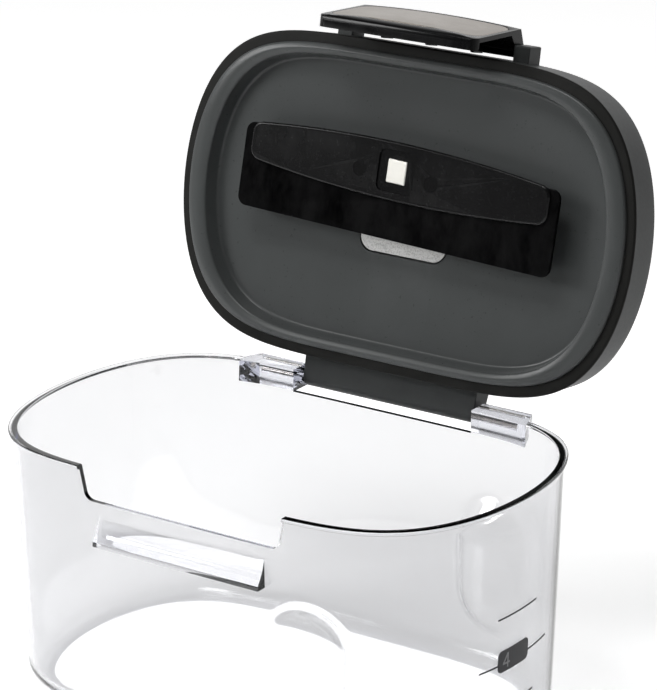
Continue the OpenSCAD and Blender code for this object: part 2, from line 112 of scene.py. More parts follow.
HINGE = Vector(JOINTS["lid_hinge"]["pos_m"])
OPEN = math.radians(JOINTS["lid_hinge"]["range_deg"][1])
UP_TO_RIM = Matrix.Translation((0, 0, RIM * MM))
LID = (
    Matrix.Translation(HINGE)
    @ Matrix.Rotation(-OPEN, 4, "X")
    @ Matrix.Translation(-HINGE)
    @ UP_TO_RIM
)
LEVELER = (
    LID
    @ Matrix.Translation((0, -LEVELER_DOWN * MM, 0))
    @ Matrix.Rotation(LEVELER_TURN, 4, "Z")
)
TO_METRES = Matrix.Scale(MM, 4)
HERE = Matrix()

# ---- light and clear plastic -----------------------------------------------------------------

LAMP_TARGET = (0, 0.03, 0.15)
# place and size of each lamp, in metres
LAMPS = {
    "key": ((-1.0, -0.75, 0.75), (0.5, 0.5)),
    "fill": ((1.3, -0.5, 0.7), (0.8, 0.8)),
    "overhead": ((-0.1, -0.35, 1.15), (0.5, 0.3)),
    "rear": ((0.5, 1.2, 1.0), (1.0, 0.6)),
}
FLOOR_GLOW = 0.68
CLEAR_BASE, CLEAR_IOR, CLEAR_DENSITY = (0.80, 0.80, 0.80, 1), 1.52, 80.0


# ---- settings --------------------------------------------------------------------------------


def length(name, description, default):
    """A length setting in metres."""
    return FloatProperty(name=name, description=description, default=default, min=0, unit="LENGTH")


def angle(name, description, default):
    """An angle setting."""
    return FloatProperty(name=name, description=description, default=default, subtype="ANGLE")


def power(name, description, default):
    """A lamp's power setting."""
    return FloatProperty(name=name, description=description, default=default, min=0, unit="POWER")


def colour(name, description, default):
    """A colour setting."""
    return FloatVectorProperty(
        name=name, description=description, default=default, size=3, min=0, max=1, subtype="COLOR"
    )


class CanisterSizes(PropertyGroup):
    """Sizes of the soft edges and fillets."""

    edge: length("Soft edge", "Radius of the small edges of moulded pieces", 0.0003)
    lip_round: length("Lip edge", "Radius of the tub's lip at its outer edge", 0.0005)
    mouth_round: length("Mouth edge", "Radius of the lip at the mouth", 0.0006)
    dish_fillet: length("Dish fillet", "Radius at the foot of the dish's wall", 0.0014)
    flange_round: length("Flange edge", "Radius of the flange's edges", 0.0012)
    flange_crown: length("Flange crown", "How far the flange's edges fall back from its middle", 0.0004)
    print_high: length("Line height", "Height of a printed cup line", 0.0007)
    steps: IntProperty(
        name="Outline steps", description="Points round each oval", default=360, min=96, max=480
    )


class CanisterColours(PropertyGroup):
    """Colours of the finishes."""

    clear: colour("Clear plastic", "Tint of the tub, seen in its thick edges", (0.80, 0.81, 0.87))
    charcoal: colour("Lid shell", "Charcoal of the lid's shell", (0.040, 0.043, 0.043))
    liner: colour("Lid liner", "Grey of the flange and dish", (0.072, 0.077, 0.077))
    rubber: colour("Gasket", "Black of the rubber", (0.011, 0.011, 0.010))
    gloss: colour("Latch", "Black of the latch", (0.003, 0.003, 0.0035))
    blade: colour("Blade", "Black of the blade", (0.0012, 0.0012, 0.0014))
    matt: colour("Grip", "Black of the grip", (0.0025, 0.0025, 0.0028))
    pewter: colour("Latch face", "Metal of the latch's face", (0.36, 0.325, 0.29))
    steel: colour("Pins", "Metal of the pins", (0.60, 0.56, 0.52))
    keeper: colour("Keeper plate", "Metal of the plate in the dish", (0.55, 0.55, 0.54))
    nickel: colour("Magnet", "Metal of the magnet", (0.84, 0.83, 0.78))
    ink: colour("Cup lines", "Print on the end wall", (0.065, 0.065, 0.07))
    numeral: colour("Numeral", "Print on the scale's pad", (0.42, 0.42, 0.43))
    floor: colour("Floor", "Floor and backdrop", (0.92, 0.92, 0.92))


class CanisterStage(PropertyGroup):
    """Camera and lamps."""

    lens: FloatProperty(
        name="Lens", description="Focal length for a 36 mm long side", default=177.49, unit="CAMERA"
    )
    camera: FloatVectorProperty(
        name="Camera",
        description="Place of the camera",
        default=(0.7211, -1.0189, 0.5796),
        subtype="TRANSLATION",
    )
    azimuth: angle("Azimuth", "Turn of the camera about Z", math.radians(34.505))
    elevation: angle("Elevation", "Camera's angle above level", math.radians(19.16))
    roll: angle("Roll", "Turn about the view", -0.0028)
    key: power("Key lamp", "Power of the key lamp", 9.0)
    fill: power("Fill lamp", "Power of the fill lamp", 0.25)
    rear: power("Rear lamp", "Power of the rear lamp", 2.0)
    overhead: power("Overhead lamp", "Power of the overhead lamp", 4.5)
    world: FloatProperty(
        name="Room light", description="Strength of the room's light", default=0.15, min=0
    )


# ---- modelling helpers -----------------------------------------------------------------------


def spow(value, power):
    """Signed power."""
    return math.copysign(abs(value) ** power, value)


LONG_POWER, END_POWER = 5.4, 2.0


def oval_point(t, a, b):
    """Point of the canister's oval outline for half sizes a and b."""
    return a * spow(math.cos(t), 2 / LONG_POWER), b * spow(math.sin(t), 2 / END_POWER)


def even_turns(steps):
    """Outline parameters that space points evenly round the oval."""
    fine = 7200
    turns, run, last = [], [0.0], oval_point(0, *MOUTH)
    for i in range(1, fine + 1):
        point = oval_point(2 * math.pi * i / fine, *MOUTH)
        run.append(run[-1] + math.dist(point, last))
        last = point
    k = 0
    for i in range(steps):
        want = run[-1] * i / steps
        while run[k + 1] < want:
            k += 1
        part = (want - run[k]) / (run[k + 1] - run[k])
        turns.append(2 * math.pi * (k + part) / fine)
    return turns


def only(items, kind):
    """The items of one bmesh kind."""
    return [item for item in items if isinstance(item, kind)]


def loft(bm, rings, turns, y=0.0, closed=False):
    """Extrudes an oval loop of edges through rings, given as (half length, half width, height).

    The bmesh is empty before, and its edges are taken in its own order, the same each run.
    """
    verts = bmesh.ops.create_circle(bm, segments=len(turns), radius=1)["verts"]
    first = edges = bm.edges[:]
    for k, (a, b, z) in enumerate(rings + rings[:1] if closed else rings):
        if k:
            order = {tuple(vert.co): i for i, vert in enumerate(verts)}
            grown = bmesh.ops.extrude_edge_only(bm, edges=edges)["geom"]
            verts = only(grown, bmesh.types.BMVert)
            verts.sort(key=lambda vert: order[tuple(vert.co)])
            fresh = set(verts)
            edges = only(grown, bmesh.types.BMEdge)
            edges = [edge for edge in edges if fresh.issuperset(edge.verts)]
        for vert, t in zip(verts, turns):
            x, side = oval_point(t, a, b)
            vert.co = (x, side + y, z)
    if closed:
        bmesh.ops.remove_doubles(bm, verts=bm.verts, dist=0.0001)
    else:
        bmesh.ops.contextual_create(bm, geom=first)
        bmesh.ops.contextual_create(bm, geom=edges)
    bmesh.ops.recalc_face_normals(bm, faces=bm.faces)


def fillet(centre, radius, start, end, steps=5):
    """Points of an arc in (outward, upward), with angles in degrees."""
    out = []
    for i in range(steps + 1):
        t = math.radians(start + (end - start) * i / steps)
        out.append((centre[0] + radius * math.cos(t), centre[1] + radius * math.sin(t)))
    return out


def prism(bm, points, low, high, axis="X"):
    """Extrudes an outline from low to high along an axis, in an empty bmesh.

    The outline is given as (y, z) for X, as (x, z) for Y and as (x, y) for Z.
    """
    place = {
        "X": lambda p: (low, p[0], p[1]),
        "Y": lambda p: (p[0], low, p[1]),
        "Z": lambda p: (p[0], p[1], low),
    }[axis]
    move = {"X": (high - low, 0, 0), "Y": (0, high - low, 0), "Z": (0, 0, high - low)}[axis]
    face = bm.faces.new([bm.verts.new(place(p)) for p in points])
    made = bmesh.ops.extrude_face_region(bm, geom=[face])["geom"]
    verts = only(made, bmesh.types.BMVert)
    bmesh.ops.translate(bm, vec=move, verts=verts)
    bmesh.ops.recalc_face_normals(bm, faces=bm.faces)


def rod(bm, radius, low, high, centre, segments=48):
    """A round bar along X."""
    ring = [
        (
            centre[0] + radius * math.cos(2 * math.pi * i / segments),
            centre[1] + radius * math.sin(2 * math.pi * i / segments),
        )
        for i in range(segments)
    ]
    prism(bm, ring, low, high)


def rounded_rect(width, height, radius, centre=(0, 0), steps=8):
    """Outline of a rectangle with round corners."""
    points = []
    for cx, cy, start in ((1, 1, 0), (-1, 1, 90), (-1, -1, 180), (1, -1, 270)):
        middle = (centre[0] + cx * (width / 2 - radius), centre[1] + cy * (height / 2 - radius))
        points += fillet(middle, radius, start, start + 90, steps)
    return points


def as_mesh(name, bm, place):
    """A mesh object at the origin from a bmesh drawn in millimetres."""
    bmesh.ops.transform(bm, matrix=place @ TO_METRES, verts=bm.verts)
    mesh = bpy.data.meshes.new(name)
    bm.to_mesh(mesh)
    bm.free()
    obj = bpy.data.objects.new(name, mesh)
    bpy.context.scene.collection.objects.link(obj)
    return obj


def prism_object(name, place, points, low, high, axis="X"):
    """An object of one prism."""
    bm = bmesh.new()
    prism(bm, points, low, high, axis)
    return as_mesh(name, bm, place)


def soften(obj, width, segments=2):
    """Rounds the sharp edges and shades the rest smooth."""
    mod = obj.modifiers.new("soft_edge", "BEVEL")
    mod.width = width
    mod.segments = segments
    mod.limit_method = "ANGLE"
    mod.angle_limit = math.radians(SHARP)
    mod.harden_normals = True
    shade(obj)


def shade(obj, sharp=SHARP):
    """Smooth shading that keeps edges over an angle sharp."""
    obj.data.shade_smooth()
    obj.data.set_sharp_from_angle(angle=math.radians(sharp))


def cut(obj, tool, operation="DIFFERENCE"):
    """Applies a boolean and removes its tool."""
    mod = obj.modifiers.new("cut", "BOOLEAN")
    mod.operation = operation
    mod.solver = "EXACT"
    mod.object = tool
    depsgraph = bpy.context.evaluated_depsgraph_get()
    mesh = bpy.data.meshes.new_from_object(obj.evaluated_get(depsgraph))
    obj.modifiers.remove(mod)
    old = obj.data
    mesh.name = old.name
    obj.data = mesh
    bpy.data.meshes.remove(old)
    used = tool.data
    bpy.data.objects.remove(tool)
    bpy.data.meshes.remove(used)


def tidy_mesh(obj, distance):
    """Merges points closer than a distance in metres and drops stray faces."""
    bm = bmesh.new()
    bm.from_mesh(obj.data)
    bmesh.ops.remove_doubles(bm, verts=bm.verts, dist=distance)
    bmesh.ops.dissolve_degenerate(bm, dist=distance / 10, edges=bm.edges)
    stray = [face for face in bm.faces if all(edge.is_boundary for edge in face.edges)]
    bmesh.ops.delete(bm, geom=stray, context="FACES")
    bm.to_mesh(obj.data)
    bm.free()


def solid_copy(name, node):
    """A merged copy of a node's solid, with its flat faces made whole."""
    mesh = frame["nodes"][node].data.copy()
    mesh.name = name
    mesh.materials.clear()
    bm = bmesh.new()
    bm.from_mesh(mesh)
    bmesh.ops.remove_doubles(bm, verts=bm.verts, dist=2e-6)
    bmesh.ops.dissolve_limit(bm, angle_limit=math.radians(0.5), verts=bm.verts, edges=bm.edges)
    bm.to_mesh(mesh)
    bm.free()
    obj = bpy.data.objects.new(name, mesh)
    bpy.context.scene.collection.objects.link(obj)
    return obj


def finish_piece(obj, body, slot, material, *nodes):
    """Gives a piece its finish and its body, and hides the nodes that it stands in for."""
    obj.data.materials.clear()
    obj.data.materials.append(material)
    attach(obj, body)
    if nodes:
        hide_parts(*nodes)


# ---- finishes --------------------------------------------------------------------------------


SURFACE = (
    ("Colour", "NodeSocketColor"),
    ("Roughness", "NodeSocketFloat"),
    ("Height", "NodeSocketFloat"),
)


def new_group(name, inputs):
    """An empty node group that puts out a surface's colour, roughness and height."""
    tree = bpy.data.node_groups.new(name, "ShaderNodeTree")
    for label, kind, value in inputs:
        made = tree.interface.new_socket(label, in_out="INPUT", socket_type=kind)
        made.default_value = value
    for label, kind in SURFACE:
        tree.interface.new_socket(label, in_out="OUTPUT", socket_type=kind)
    return tree, tree.nodes.new("NodeGroupInput"), tree.nodes.new("NodeGroupOutput")


def noise(tree, scale, detail=4.0, rough=0.55, stretch=(1, 1, 1), vector=None):
    """Noise on object coordinates. Returns its value socket and its scale socket."""
    mapping = tree.nodes.new("ShaderNodeMapping")
    mapping.inputs["Scale"].default_value = stretch
    tree.links.new(vector, mapping.inputs["Vector"])
    node = tree.nodes.new("ShaderNodeTexNoise")
    node.inputs["Scale"].default_value = scale
    node.inputs["Detail"].default_value = detail
    node.inputs["Roughness"].default_value = rough
    tree.links.new(mapping.outputs[0], node.inputs["Vector"])
    return node.outputs["Fac"], node.inputs["Scale"]


def remap(tree, value, low, high, to_low=0.0, to_high=1.0):
    """Remaps a value and clamps it."""
    node = tree.nodes.new("ShaderNodeMapRange")
    tree.links.new(value, node.inputs["Value"])
    for key, number in (("From Min", low), ("From Max", high), ("To Min", to_low), ("To Max", to_high)):
        node.inputs[key].default_value = number
    return node.outputs[0]


def maths(tree, operation, a, b):
    """A Math node on sockets or numbers."""
    node = tree.nodes.new("ShaderNodeMath")
    node.operation = operation
    for socket, value in zip(node.inputs, (a, b)):
        if isinstance(value, (int, float)):
            socket.default_value = value
        else:
            tree.links.new(value, socket)
    return node.outputs[0]


def mix_colour(tree, factor, a, b):
    """Mixes two colours by a factor socket or number."""
    node = tree.nodes.new("ShaderNodeMix")
    node.data_type = "RGBA"
    for socket, value in ((node.inputs[0], factor), (node.inputs[6], a), (node.inputs[7], b)):
        if isinstance(value, bpy.types.NodeSocket):
            tree.links.new(value, socket)
        else:
            socket.default_value = value
    return node.outputs[2]


def mix_value(tree, factor, a, b):
    """Mixes two values by a factor."""
    node = tree.nodes.new("ShaderNodeMix")
    for socket, value in zip((node.inputs[0], node.inputs[2], node.inputs[3]), (factor, a, b)):
        if isinstance(value, bpy.types.NodeSocket):
            tree.links.new(value, socket)
        else:
            socket.default_value = value
    return node.outputs[0]


def moulded_group():
    """Fine mould texture with faint handling marks and a little edge rub."""
    if "moulded_surface" in bpy.data.node_groups:
        return bpy.data.node_groups["moulded_surface"]
    tree, source, result = new_group(
        "moulded_surface",
        (
            ("Colour", "NodeSocketColor", (0.05, 0.05, 0.05, 1)),
            ("Roughness", "NodeSocketFloat", 0.4),
            ("Grain Size", "NodeSocketFloat", 900.0),
            ("Marks", "NodeSocketFloat", 0.5),
            ("Rub", "NodeSocketFloat", 0.3),
        ),
    )
    vector = tree.nodes.new("ShaderNodeTexCoord").outputs["Object"]
    grain, grain_scale = noise(tree, 900, 3, 0.6, vector=vector)
    tree.links.new(source.outputs["Grain Size"], grain_scale)
    cloud, _ = noise(tree, 14, 5, 0.6, vector=vector)
    smear, _ = noise(tree, 60, 6, 0.7, stretch=(1, 0.25, 0.5), vector=vector)
    marks = maths(tree, "MULTIPLY", remap(tree, smear, 0.52, 0.78), source.outputs["Marks"])
    geometry = tree.nodes.new("ShaderNodeNewGeometry")
    edge = remap(tree, geometry.outputs["Pointiness"], 0.515, 0.56)
    rub = maths(tree, "MULTIPLY", edge, source.outputs["Rub"])
    rub = maths(tree, "MULTIPLY", rub, remap(tree, smear, 0.35, 0.6))
    lighter = mix_colour(tree, 0.12, source.outputs["Colour"], (0.5, 0.5, 0.5, 1))
    darker = mix_colour(tree, 0.5, source.outputs["Colour"], (0, 0, 0, 1))
    base = mix_colour(tree, remap(tree, cloud, 0.35, 0.7, 0, 0.3), source.outputs["Colour"], darker)
    tree.links.new(mix_colour(tree, rub, base, lighter), result.inputs["Colour"])
    rough = maths(tree, "ADD", source.outputs["Roughness"], maths(tree, "MULTIPLY", marks, 0.18))
    rough = maths(tree, "ADD", rough, remap(tree, grain, 0.3, 0.7, -0.03, 0.03))
    tree.links.new(rough, result.inputs["Roughness"])
    tree.links.new(grain, result.inputs["Height"])
    return tree


def metal_group():
    """Drawn metal: fine lines along X, soft cloud and small scratches."""
    if "drawn_metal" in bpy.data.node_groups:
        return bpy.data.node_groups["drawn_metal"]
    tree, source, result = new_group(
        "drawn_metal",
        (
            ("Colour", "NodeSocketColor", (0.5, 0.5, 0.5, 1)),
            ("Roughness", "NodeSocketFloat", 0.3),
            ("Lines", "NodeSocketFloat", 0.3),
            ("Speckle", "NodeSocketFloat", 0.0),
        ),
    )
    vector = tree.nodes.new("ShaderNodeTexCoord").outputs["Object"]
    lines, _ = noise(tree, 1800, 2, 0.5, stretch=(0.02, 1, 1), vector=vector)
    cloud, _ = noise(tree, 40, 4, 0.6, vector=vector)
    speck, _ = noise(tree, 1500, 2, 0.8, vector=vector)
    dark = mix_colour(tree, 0.6, source.outputs["Colour"], (0.02, 0.02, 0.02, 1))
    spots = maths(tree, "MULTIPLY", remap(tree, speck, 0.48, 0.62), source.outputs["Speckle"])
    streak = maths(tree, "MULTIPLY", remap(tree, lines, 0.3, 0.75), source.outputs["Lines"])
    tint = mix_colour(tree, maths(tree, "MULTIPLY", streak, 0.35), source.outputs["Colour"], dark)
    tree.links.new(mix_colour(tree, spots, tint, dark), result.inputs["Colour"])
    rough = maths(tree, "ADD", source.outputs["Roughness"], remap(tree, cloud, 0.35, 0.7, -0.04, 0.06))
    rough = maths(tree, "ADD", rough, maths(tree, "MULTIPLY", streak, 0.15))
    tree.links.new(rough, result.inputs["Roughness"])
    tree.links.new(maths(tree, "ADD", streak, spots), result.inputs["Height"])
    return tree


def new_material(name):
    """An empty material with its shader. Returns material, tree and shader."""
    material = bpy.data.materials.new(name)
    material.use_nodes = True
    tree = material.node_tree
    return material, tree, tree.nodes["Principled BSDF"]


def bump(tree, height, shader, strength, distance):
    """Feeds a height to the shader's normal."""
    node = tree.nodes.new("ShaderNodeBump")
    node.inputs["Strength"].default_value = strength
    node.inputs["Distance"].default_value = distance
    tree.links.new(height, node.inputs["Height"])
    tree.links.new(node.outputs[0], shader.inputs["Normal"])


def group_finish(name, group_tree, values, relief, depth):
    """A material that a surface group feeds, with a bump of a depth in metres.

    Returns material and shader.
    """
    material, tree, shader = new_material(name)
    group = tree.nodes.new("ShaderNodeGroup")
    group.node_tree = group_tree
    for key, value in values.items():
        group.inputs[key].default_value = value
    tree.links.new(group.outputs["Colour"], shader.inputs["Base Color"])
    tree.links.new(group.outputs["Roughness"], shader.inputs["Roughness"])
    bump(tree, group.outputs["Height"], shader, relief, depth)
    return material, shader


def plastic(name, tint, rough, grain=900.0, marks=0.5, rub=0.3, relief=0.08, shine=0.5):
    """Opaque moulded plastic or rubber."""
    name += "_finish"
    if name in bpy.data.materials:
        return bpy.data.materials[name]
    values = {
        "Colour": (*tint, 1),
        "Roughness": rough,
        "Grain Size": grain,
        "Marks": marks,
        "Rub": rub,
    }
    material, shader = group_finish(name, moulded_group(), values, relief, 0.0002)
    shader.inputs["IOR"].default_value = 1.5
    shader.inputs["Specular IOR Level"].default_value = shine
    return material


def metal(name, tint, rough, lines=0.3, speckle=0.0, relief=0.05):
    """Bare metal."""
    name += "_finish"
    if name in bpy.data.materials:
        return bpy.data.materials[name]
    values = {"Colour": (*tint, 1), "Roughness": rough, "Lines": lines, "Speckle": speckle}
    material, shader = group_finish(name, metal_group(), values, relief, 0.0001)
    shader.inputs["Metallic"].default_value = 1.0
    return material


def clear_plastic(tint):
    """Polished clear plastic with faint haze, flow waves and hairline scratches."""
    material, tree, shader = new_material("clear_plastic_finish")
    vector = tree.nodes.new("ShaderNodeTexCoord").outputs["Object"]
    waves, _ = noise(tree, 18, 2, 0.4, stretch=(1, 1, 0.35), vector=vector)
    scratch, _ = noise(tree, 700, 3, 0.7, stretch=(0.06, 0.06, 1), vector=vector)
    haze, _ = noise(tree, 25, 4, 0.6, vector=vector)
    lines = remap(tree, scratch, 0.66, 0.74)
    rough = remap(tree, haze, 0.35, 0.75, 0.003, 0.009)
    rough = maths(tree, "ADD", rough, maths(tree, "MULTIPLY", lines, 0.02))
    tree.links.new(rough, shader.inputs["Roughness"])
    shader.inputs["Base Color"].default_value = CLEAR_BASE
    shader.inputs["Transmission Weight"].default_value = 1.0
    shader.inputs["IOR"].default_value = CLEAR_IOR
    bump(tree, waves, shader, 0.05, 0.0008)
    depth = tree.nodes.new("ShaderNodeVolumeAbsorption")
    depth.inputs["Color"].default_value = (*tint, 1)
    depth.inputs["Density"].default_value = CLEAR_DENSITY
    tree.links.new(depth.outputs[0], tree.nodes["Material Output"].inputs["Volume"])
    return material


# ---- pieces ----------------------------------------------------------------------------------


def tub_half(z, out):
    """Half sizes of the tub's wall at a height, moved out."""
    lean = DRAFT * (RIM - z)
    return MOUTH[0] + out - lean, MOUTH[1] + out - lean


def tub_rings(sizes):
    """Rings of the tub from under its base, up the outside, over the lip and down to the floor."""
    lip_r, mouth_r = sizes.lip_round / MM, sizes.mouth_round / MM
    rows, under = 38, 0.4
    top = RIM - LIP_T - under
    section = fillet((WALL - BASE_ROUND, BASE_ROUND), BASE_ROUND, -90, 0, 10)
    for i in range(1, rows):
        section.append((WALL, BASE_ROUND + (top - BASE_ROUND) * i / rows))
    section += fillet((WALL + under, top), under, 180, 90, 4)
    section += fillet((WALL + LIP_OUT - lip_r, RIM - LIP_T + lip_r), lip_r, -90, 0, 5)
    section += fillet((WALL + LIP_OUT - lip_r, RIM - lip_r), lip_r, 0, 90, 5)
    section += fillet((mouth_r, RIM - mouth_r), mouth_r, 90, 180, 4)
    inner = BASE_ROUND - WALL
    rows += 2
    for i in range(1, rows):
        section.append((0, RIM - mouth_r - (RIM - mouth_r - FLOOR - inner) * i / rows))
    section += fillet((-inner, FLOOR + inner), inner, 0, -90, 8)
    return [(*tub_half(up, out), up) for out, up in section]


def side_at(x, z, out):
    """How far out a long wall stands at x and height z."""
    a, b = tub_half(z, out)
    return b * math.sqrt(max(0.0, 1 - abs(x / a) ** LONG_POWER))


def soft_min(a, b, blend):
    """The lesser of two values, eased where they meet."""
    h = max(blend - abs(a - b), 0.0) / blend
    return min(a, b) - h * h * blend / 4


def press_grips(bm, blend=2.2):
    """Presses the grip's round-ended hollows into the front and back walls, inside and out."""
    radius = (GRIP_W**2 / 4 + GRIP_IN**2) / (2 * GRIP_IN)
    top, low = RIM - GRIP_TOP - GRIP_W / 2, GRIP_LOW + GRIP_W / 2
    centre = side_at(GRIP_X, (top + low) / 2, WALL) - GRIP_IN + radius
    reach, margin, beside = GRIP_W / 2 + 6, 5, 40

    def near(co):
        level = GRIP_LOW - margin < co.z < RIM - GRIP_TOP + margin
        return level and abs(co.x - GRIP_X) < reach and abs(co.y) > beside

    edges = [edge for edge in bm.edges if all(near(vert.co) for vert in edge.verts)]
    bmesh.ops.subdivide_edges(bm, edges=edges, cuts=2, use_grid_fill=True)
    for vert in bm.verts:
        x, y, z = vert.co
        if not near(vert.co):
            continue
        inner = abs(y) < side_at(x, z, WALL / 2)
        grown = radius + (WALL if inner else 0)
        off = grown**2 - (x - GRIP_X) ** 2 - (z - min(max(z, low), top)) ** 2
        hollow = centre - math.sqrt(max(off, 0.0))
        vert.co.y = math.copysign(soft_min(abs(y), hollow, blend), y)


class CANISTER_OT_tub(Operator):
    """Builds the clear tub"""

    bl_idname = "canister.tub"
    bl_label = "Clear tub"

    def execute(self, context):
        sizes = context.scene.canister_sizes
        turns = even_turns(sizes.steps)
        bm = bmesh.new()
        loft(bm, tub_rings(sizes), turns)
        press_grips(bm)
        tub = as_mesh("clear_tub", bm, HERE)

        # catch on the front wall
        wall_y = MOUTH[1] + WALL - DRAFT * CATCH_LOW
        ramp = CATCH_LOW - CATCH_FACE - CATCH_TOP
        points = [(-wall_y + WALL / 2, RIM - CATCH_LOW), (-wall_y + WALL / 2, RIM - CATCH_TOP)]
        for i in range(13):
            t = i / 12
            points.append((-wall_y - CATCH_OUT * t * t, RIM - CATCH_TOP - ramp * t))
        points.append((-wall_y - CATCH_OUT, RIM - CATCH_LOW))
        cut(tub, prism_object("catch_tool", HERE, points, -CATCH_HALF, CATCH_HALF), "UNION")

        # notch for the latch
        low, over, away = RIM - NOTCH_DEEP, RIM + SPARE, MOUTH[1] + 20
        inner = NOTCH_HALF - 2 - NOTCH_ROUND
        points = [(-NOTCH_HALF, over), (-NOTCH_HALF, RIM)]
        points += fillet((-inner, low + NOTCH_ROUND), NOTCH_ROUND, 180, 270, 8)
        points += fillet((inner, low + NOTCH_ROUND), NOTCH_ROUND, 270, 360, 8)
        points += [(NOTCH_HALF, RIM), (NOTCH_HALF, over)]
        cut(tub, prism_object("notch_tool", HERE, points, -away, -MOUTH[1] / 2, "Y"))

        # hinge blocks that stand behind the wall and spread into it at their outer ends
        hinge_y, hinge_z = HINGE.y / MM, HINGE.z / MM
        foot, top, r = RIM - REAR_DEEP, hinge_z + BLOCK_UP, BLOCK_ROUND
        front, back = MOUTH[1] - 8, hinge_y + BLOCK_BACK
        spread = BLOCK_OUT + (back - front) * math.tan(BLOCK_SPLAY)
        for side in (-1, 1):
            plan = [(BLOCK_IN - 1, front), (spread, front), (BLOCK_OUT, back), (BLOCK_IN - 1, back)]
            plan = [(side * x, y) for x, y in plan]
            block = prism_object("block_tool", HERE, plan, foot, top + 0.4, "Z")
            points = [(front - 1, top + 1), (front - 1, foot - 1)]
            points += [(back - r, foot - 1), (back - r, foot)]
            points += fillet((back - r, foot + r), r, -90, 0, 6)[1:]
            points += fillet((back - r, top - r), r, 0, 90, 6)
            points.append((back - r, top + 1))
            ends = sorted((side * (BLOCK_IN - SPARE), side * (spread + 1)))
            cut(block, prism_object("profile_tool", HERE, points, *ends), "INTERSECT")
            bm = bmesh.new()
            loft(bm, [(*tub_half(z, WALL / 2), z) for z in (foot - 1, top + 1)], turns)
            cut(block, as_mesh("mouth_tool", bm, HERE))
            cut(tub, block, "UNION")
            cut(tub, prism_object("top_tool", HERE, plan, top, over, "Z"))

        # notch for the lid's knuckle, a hair deeper than the blocks, and the pins' bores
        foot -= 0.03
        rear = [(-BLOCK_IN, foot), (BLOCK_IN, foot), (BLOCK_IN, over), (-BLOCK_IN, over)]
        cut(tub, prism_object("rear_tool", HERE, rear, MOUTH[1] / 2, away, "Y"))
        for side in (-1, 1):
            bm = bmesh.new()
            bore = sorted((side * (BLOCK_IN - 1), side * (BLOCK_IN + PIN_IN_BLOCK + 1)))
            rod(bm, PIN_R + 0.02, *bore, (hinge_y, hinge_z))
            cut(tub, as_mesh("bore_tool", bm, HERE))

        tidy_mesh(tub, 0.00008)
        soften(tub, sizes.edge)
        finish = clear_plastic(context.scene.canister_colours.clear)
        finish_piece(tub, "bin", "clear_plastic", finish, "bin_body")
        return {"FINISHED"}


def wall_patch(name, outline, thick=0.12, lift=0.02):
    """A thin print on the right-hand end wall, from its outline in (y, z)."""
    bm = bmesh.new()
    bm.faces.new([bm.verts.new((0, y, z)) for y, z in outline])
    first, last = min(y for y, _ in outline), max(y for y, _ in outline)
    slices = max(2, int(last - first))
    for i in range(1, slices):
        place = first + (last - first) * i / slices
        geometry = bm.verts[:] + bm.edges[:] + bm.faces[:]
        bmesh.ops.bisect_plane(bm, geom=geometry, plane_co=(0, place, 0), plane_no=(0, 1, 0))
    for vert in bm.verts:
        a, b = tub_half(vert.co.z, WALL + lift)
        vert.co.x = a * (1 - abs(vert.co.y / b) ** END_POWER) ** (1 / LONG_POWER)
    if sum(face.normal.x for face in bm.faces) < 0:
        bmesh.ops.reverse_faces(bm, faces=bm.faces)
    bm.normal_update()
    bmesh.ops.solidify(bm, geom=bm.faces, thickness=-thick)
    bmesh.ops.recalc_face_normals(bm, faces=bm.faces)
    patch = as_mesh(name, bm, HERE)
    shade(patch, PRINT_SHARP)
    return patch


class CANISTER_OT_lines(Operator):
    """Prints the cup lines and the scale's pad on the right-hand end wall"""

    bl_idname = "canister.lines"
    bl_label = "Cup lines"

    def execute(self, context):
        sizes, colours = context.scene.canister_sizes, context.scene.canister_colours
        ink = plastic("cup_line_ink", colours.ink, 0.45, marks=0.2, rub=0.0, shine=0.2)
        half = sizes.print_high / MM / 2
        for name, drop, y0, y1 in CUP_LINES:
            low, high = RIM - drop - half, RIM - drop + half
            strip = wall_patch(name, [(y0, low), (y1, low), (y1, high), (y0, high)])
            finish_piece(strip, "bin", "blade_plastic", ink)

        y0, y1, z0, z1 = PAD
        middle = ((y0 + y1) / 2, (z0 + z1) / 2)
        pad = wall_patch("scale_pad", rounded_rect(y1 - y0, z1 - z0, PAD_ROUND, middle), 0.25)
        finish_piece(pad, "bin", "blade_plastic", ink)

        # the numeral four: one outline round its stem, its slope and its bar, and its hollow
        w, h, t = NUMERAL
        stem, bar = w * 0.62, h * 0.25
        outline = [(stem, h), (0, h * 0.40), (0, bar), (stem, bar), (stem, 0)]
        outline += [(stem + t, 0), (stem + t, bar), (w, bar), (w, bar + t)]
        outline += [(stem + t, bar + t), (stem + t, h)]
        hollow = [(stem, h - 1.7 * t), (t * 1.3, bar + t), (stem, bar + t)]
        left, low = NUMERAL_AT
        pale = plastic("numeral_ink", colours.numeral, 0.5, marks=0.2, rub=0.0, shine=0.2)
        numeral = wall_patch("numeral_four", [(left + y, low + z) for y, z in outline], 0.1, 0.27)
        points = [(left + y, low + z) for y, z in hollow]
        cut(numeral, prism_object("hollow_tool", HERE, points, MOUTH[0] - 10, MOUTH[0] + 10))
        shade(numeral, PRINT_SHARP)
        finish_piece(numeral, "bin", "grip_plastic", pale)
        return {"FINISHED"}


class CANISTER_OT_pins(Operator):
    """Builds the two hinge pins"""

    bl_idname = "canister.pins"
    bl_label = "Hinge pins"

    def execute(self, context):
        steel = metal("pin_steel", context.scene.canister_colours.steel, 0.24, lines=0.5)
        for node in ("hinge_pin_left", "hinge_pin_right"):
            low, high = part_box(node)
            bm = bmesh.new()
            rod(bm, PIN_R, low.x / MM, high.x / MM, (HINGE.y / MM, HINGE.z / MM), 64)
            pin = as_mesh(node + "_bar", bm, HERE)
            soften(pin, 0.00035, 3)
            finish_piece(pin, "bin", "pin_steel", steel, node)
        return {"FINISHED"}


